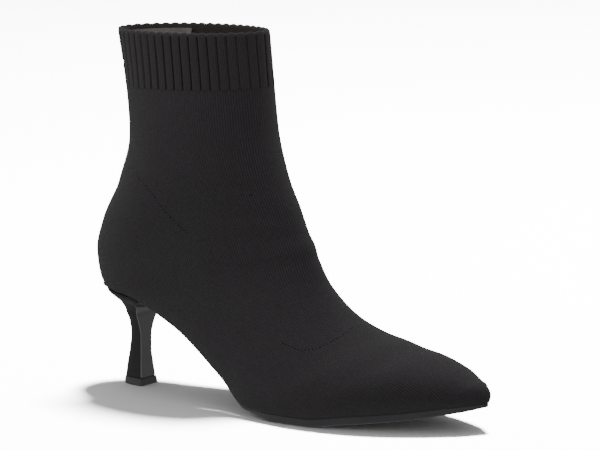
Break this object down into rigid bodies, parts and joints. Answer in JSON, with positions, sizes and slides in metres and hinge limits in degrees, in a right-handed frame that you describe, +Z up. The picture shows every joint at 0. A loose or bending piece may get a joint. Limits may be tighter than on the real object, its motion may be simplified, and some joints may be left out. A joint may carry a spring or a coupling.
{
  "type": "ankle boot",
  "caption": "Pull-on ankle boot in flat knit with a ribbed cuff, a pointed toe, a thin sole and a slim flared heel, standing empty on its sole.",
  "frame": {"origin": "centre of the heel tip's tread, on the floor", "axes": "+X from heel to toe, +Z up, -Y to the outer side of this right boot"},
  "size_m": [0.254, 0.0799, 0.2078],
  "materials": {
    "knit": "fine flat knit, matt",
    "rib_knit": "ribbed knit, matt",
    "insole": "thin cover, matt",
    "outsole": "smooth, satin",
    "heel_cover": "smooth cover, satin",
    "top_lift": "dense rubber, matt"
  },
  "bodies": {
    "root": {"knit_upper": "knit", "ribbed_cuff": "rib_knit", "insole": "insole", "outsole": "outsole", "heel": "heel_cover", "top_lift": "top_lift"}
  },
  "joints": []
}
